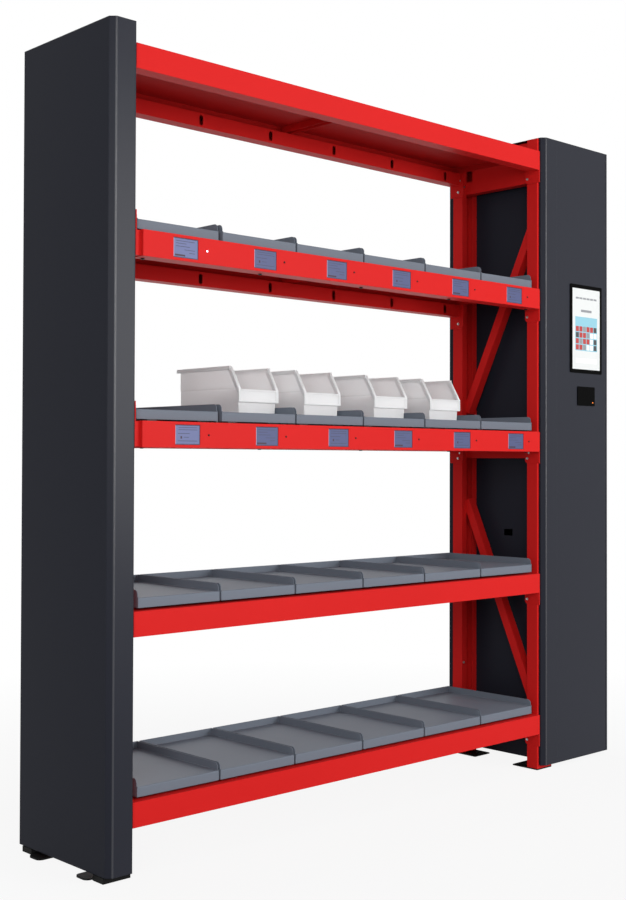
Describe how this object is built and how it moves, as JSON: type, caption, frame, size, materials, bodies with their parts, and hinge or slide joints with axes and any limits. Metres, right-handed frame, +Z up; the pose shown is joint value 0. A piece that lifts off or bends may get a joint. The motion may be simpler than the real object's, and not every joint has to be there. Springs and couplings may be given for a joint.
{
  "type": "smart parts cabinet",
  "caption": "Steel parts rack with red beams, grey weighing trays, label rails with lamps, and a charcoal electronics cabinet with touch screen and card reader.",
  "frame": {"origin": "on the floor under the middle of the overall box", "axes": "+X to the right seen from the front, +Y to the rear, +Z up"},
  "size_m": [2.022, 0.4026, 2.015],
  "materials": {
    "red_paint": "satin powder coat",
    "charcoal_paint": "fine satin powder coat",
    "black_paint": "satin powder coat",
    "tray_paint": "satin powder coat",
    "zinc_steel": "zinc plated",
    "pin_steel": "plain bright",
    "cell_aluminium": "machined",
    "lock_black": "smooth satin coat",
    "black_plastic": "fine matte",
    "screen_glass": "smooth dark glass",
    "label_face": "glossy",
    "lamp_lens": "tinted, unlit",
    "orange_lens": "clear",
    "bin_plastic": "fine satin moulding",
    "seal_rubber": "foam",
    "device_grey": "satin",
    "device_light": "satin"
  },
  "bodies": {
    "rack": {"base_plates": "black_paint", "left_front_upright": "red_paint", "left_rear_upright": "red_paint", "right_front_upright": "red_paint", "right_rear_upright": "red_paint", "left_braces": "red_paint", "right_braces": "red_paint", "front_beams": "red_paint", "rear_beams": "red_paint", "deck_panels": "red_paint", "deck_ties": "red_paint", "label_rails": "red_paint", "shelf_labels": "label_face", "indicator_lamps": "lamp_lens", "load_cells": "cell_aluminium", "weigh_plates": "zinc_steel", "left_casing": "charcoal_paint", "cabinet_shell": "charcoal_paint", "hinge_pins": "pin_steel", "door_seal": "seal_rubber", "touch_screen": "black_plastic", "screen_glass": "screen_glass", "card_reader": "black_plastic", "reader_lamp": "orange_lens", "equipment_plate": "zinc_steel", "control_computer": "device_grey", "weighing_hub": "device_light", "power_supply": "device_light", "power_inlet": "black_plastic"},
    "door": {"service_door": "charcoal_paint"},
    "lock": {"door_lock": "lock_black"},
    "tray_1_1_body": {"tray_1_1": "tray_paint"},
    "tray_1_2_body": {"tray_1_2": "tray_paint"},
    "tray_1_3_body": {"tray_1_3": "tray_paint"},
    "tray_1_4_body": {"tray_1_4": "tray_paint"},
    "tray_1_5_body": {"tray_1_5": "tray_paint"},
    "tray_1_6_body": {"tray_1_6": "tray_paint"},
    "tray_2_1_body": {"tray_2_1": "tray_paint"},
    "tray_2_2_body": {"tray_2_2": "tray_paint"},
    "tray_2_3_body": {"tray_2_3": "tray_paint"},
    "tray_2_4_body": {"tray_2_4": "tray_paint"},
    "tray_2_5_body": {"tray_2_5": "tray_paint"},
    "tray_2_6_body": {"tray_2_6": "tray_paint"},
    "tray_3_1_body": {"tray_3_1": "tray_paint"},
    "tray_3_2_body": {"tray_3_2": "tray_paint"},
    "tray_3_3_body": {"tray_3_3": "tray_paint"},
    "tray_3_4_body": {"tray_3_4": "tray_paint"},
    "tray_3_5_body": {"tray_3_5": "tray_paint"},
    "tray_3_6_body": {"tray_3_6": "tray_paint"},
    "tray_4_1_body": {"tray_4_1": "tray_paint"},
    "tray_4_2_body": {"tray_4_2": "tray_paint"},
    "tray_4_3_body": {"tray_4_3": "tray_paint"},
    "tray_4_4_body": {"tray_4_4": "tray_paint"},
    "tray_4_5_body": {"tray_4_5": "tray_paint"},
    "tray_4_6_body": {"tray_4_6": "tray_paint"},
    "bin_1_body": {"bin_1": "bin_plastic"},
    "bin_2_body": {"bin_2": "bin_plastic"},
    "bin_3_body": {"bin_3": "bin_plastic"},
    "bin_4_body": {"bin_4": "bin_plastic"}
  },
  "joints": [
    {"name": "door_swing", "type": "hinge", "parent": "rack", "child": "door", "pos_m": [1.0045, 0.19725, 1.015], "axis": [0, 0, 1], "range_deg": [0, 110]},
    {"name": "lock_turn", "type": "hinge", "parent": "door", "child": "lock", "pos_m": [1.0085, -0.16475, 1.542], "axis": [1, 0, 0], "range_deg": [0, 90]},
    {"name": "tray_1_1_lift", "type": "slide", "parent": "rack", "child": "tray_1_1_body", "axis": [0, 0, 1], "range_m": [0, 0.12]},
    {"name": "tray_1_2_lift", "type": "slide", "parent": "rack", "child": "tray_1_2_body", "axis": [0, 0, 1], "range_m": [0, 0.12]},
    {"name": "tray_1_3_lift", "type": "slide", "parent": "rack", "child": "tray_1_3_body", "axis": [0, 0, 1], "range_m": [0, 0.12]},
    {"name": "tray_1_4_lift", "type": "slide", "parent": "rack", "child": "tray_1_4_body", "axis": [0, 0, 1], "range_m": [0, 0.12]},
    {"name": "tray_1_5_lift", "type": "slide", "parent": "rack", "child": "tray_1_5_body", "axis": [0, 0, 1], "range_m": [0, 0.12]},
    {"name": "tray_1_6_lift", "type": "slide", "parent": "rack", "child": "tray_1_6_body", "axis": [0, 0, 1], "range_m": [0, 0.12]},
    {"name": "tray_2_1_lift", "type": "slide", "parent": "rack", "child": "tray_2_1_body", "axis": [0, 0, 1], "range_m": [0, 0.12]},
    {"name": "tray_2_2_lift", "type": "slide", "parent": "rack", "child": "tray_2_2_body", "axis": [0, 0, 1], "range_m": [0, 0.12]},
    {"name": "tray_2_3_lift", "type": "slide", "parent": "rack", "child": "tray_2_3_body", "axis": [0, 0, 1], "range_m": [0, 0.12]},
    {"name": "tray_2_4_lift", "type": "slide", "parent": "rack", "child": "tray_2_4_body", "axis": [0, 0, 1], "range_m": [0, 0.12]},
    {"name": "tray_2_5_lift", "type": "slide", "parent": "rack", "child": "tray_2_5_body", "axis": [0, 0, 1], "range_m": [0, 0.12]},
    {"name": "tray_2_6_lift", "type": "slide", "parent": "rack", "child": "tray_2_6_body", "axis": [0, 0, 1], "range_m": [0, 0.12]},
    {"name": "tray_3_1_lift", "type": "slide", "parent": "rack", "child": "tray_3_1_body", "axis": [0, 0, 1], "range_m": [0, 0.12]},
    {"name": "tray_3_2_lift", "type": "slide", "parent": "rack", "child": "tray_3_2_body", "axis": [0, 0, 1], "range_m": [0, 0.12]},
    {"name": "tray_3_3_lift", "type": "slide", "parent": "rack", "child": "tray_3_3_body", "axis": [0, 0, 1], "range_m": [0, 0.12]},
    {"name": "tray_3_4_lift", "type": "slide", "parent": "rack", "child": "tray_3_4_body", "axis": [0, 0, 1], "range_m": [0, 0.12]},
    {"name": "tray_3_5_lift", "type": "slide", "parent": "rack", "child": "tray_3_5_body", "axis": [0, 0, 1], "range_m": [0, 0.12]},
    {"name": "tray_3_6_lift", "type": "slide", "parent": "rack", "child": "tray_3_6_body", "axis": [0, 0, 1], "range_m": [0, 0.12]},
    {"name": "tray_4_1_lift", "type": "slide", "parent": "rack", "child": "tray_4_1_body", "axis": [0, 0, 1], "range_m": [0, 0.12]},
    {"name": "tray_4_2_lift", "type": "slide", "parent": "rack", "child": "tray_4_2_body", "axis": [0, 0, 1], "range_m": [0, 0.12]},
    {"name": "tray_4_3_lift", "type": "slide", "parent": "rack", "child": "tray_4_3_body", "axis": [0, 0, 1], "range_m": [0, 0.12]},
    {"name": "tray_4_4_lift", "type": "slide", "parent": "rack", "child": "tray_4_4_body", "axis": [0, 0, 1], "range_m": [0, 0.12]},
    {"name": "tray_4_5_lift", "type": "slide", "parent": "rack", "child": "tray_4_5_body", "axis": [0, 0, 1], "range_m": [0, 0.12]},
    {"name": "tray_4_6_lift", "type": "slide", "parent": "rack", "child": "tray_4_6_body", "axis": [0, 0, 1], "range_m": [0, 0.12]},
    {"name": "bin_1_draw", "type": "slide", "parent": "tray_3_2_body", "child": "bin_1_body", "axis": [0, -1, 0], "range_m": [0, 0.3]},
    {"name": "bin_2_draw", "type": "slide", "parent": "tray_3_3_body", "child": "bin_2_body", "axis": [0, -1, 0], "range_m": [0, 0.3]},
    {"name": "bin_3_draw", "type": "slide", "parent": "tray_3_4_body", "child": "bin_3_body", "axis": [0, -1, 0], "range_m": [0, 0.3]},
    {"name": "bin_4_draw", "type": "slide", "parent": "tray_3_5_body", "child": "bin_4_body", "axis": [0, -1, 0], "range_m": [0, 0.3]}
  ]
}
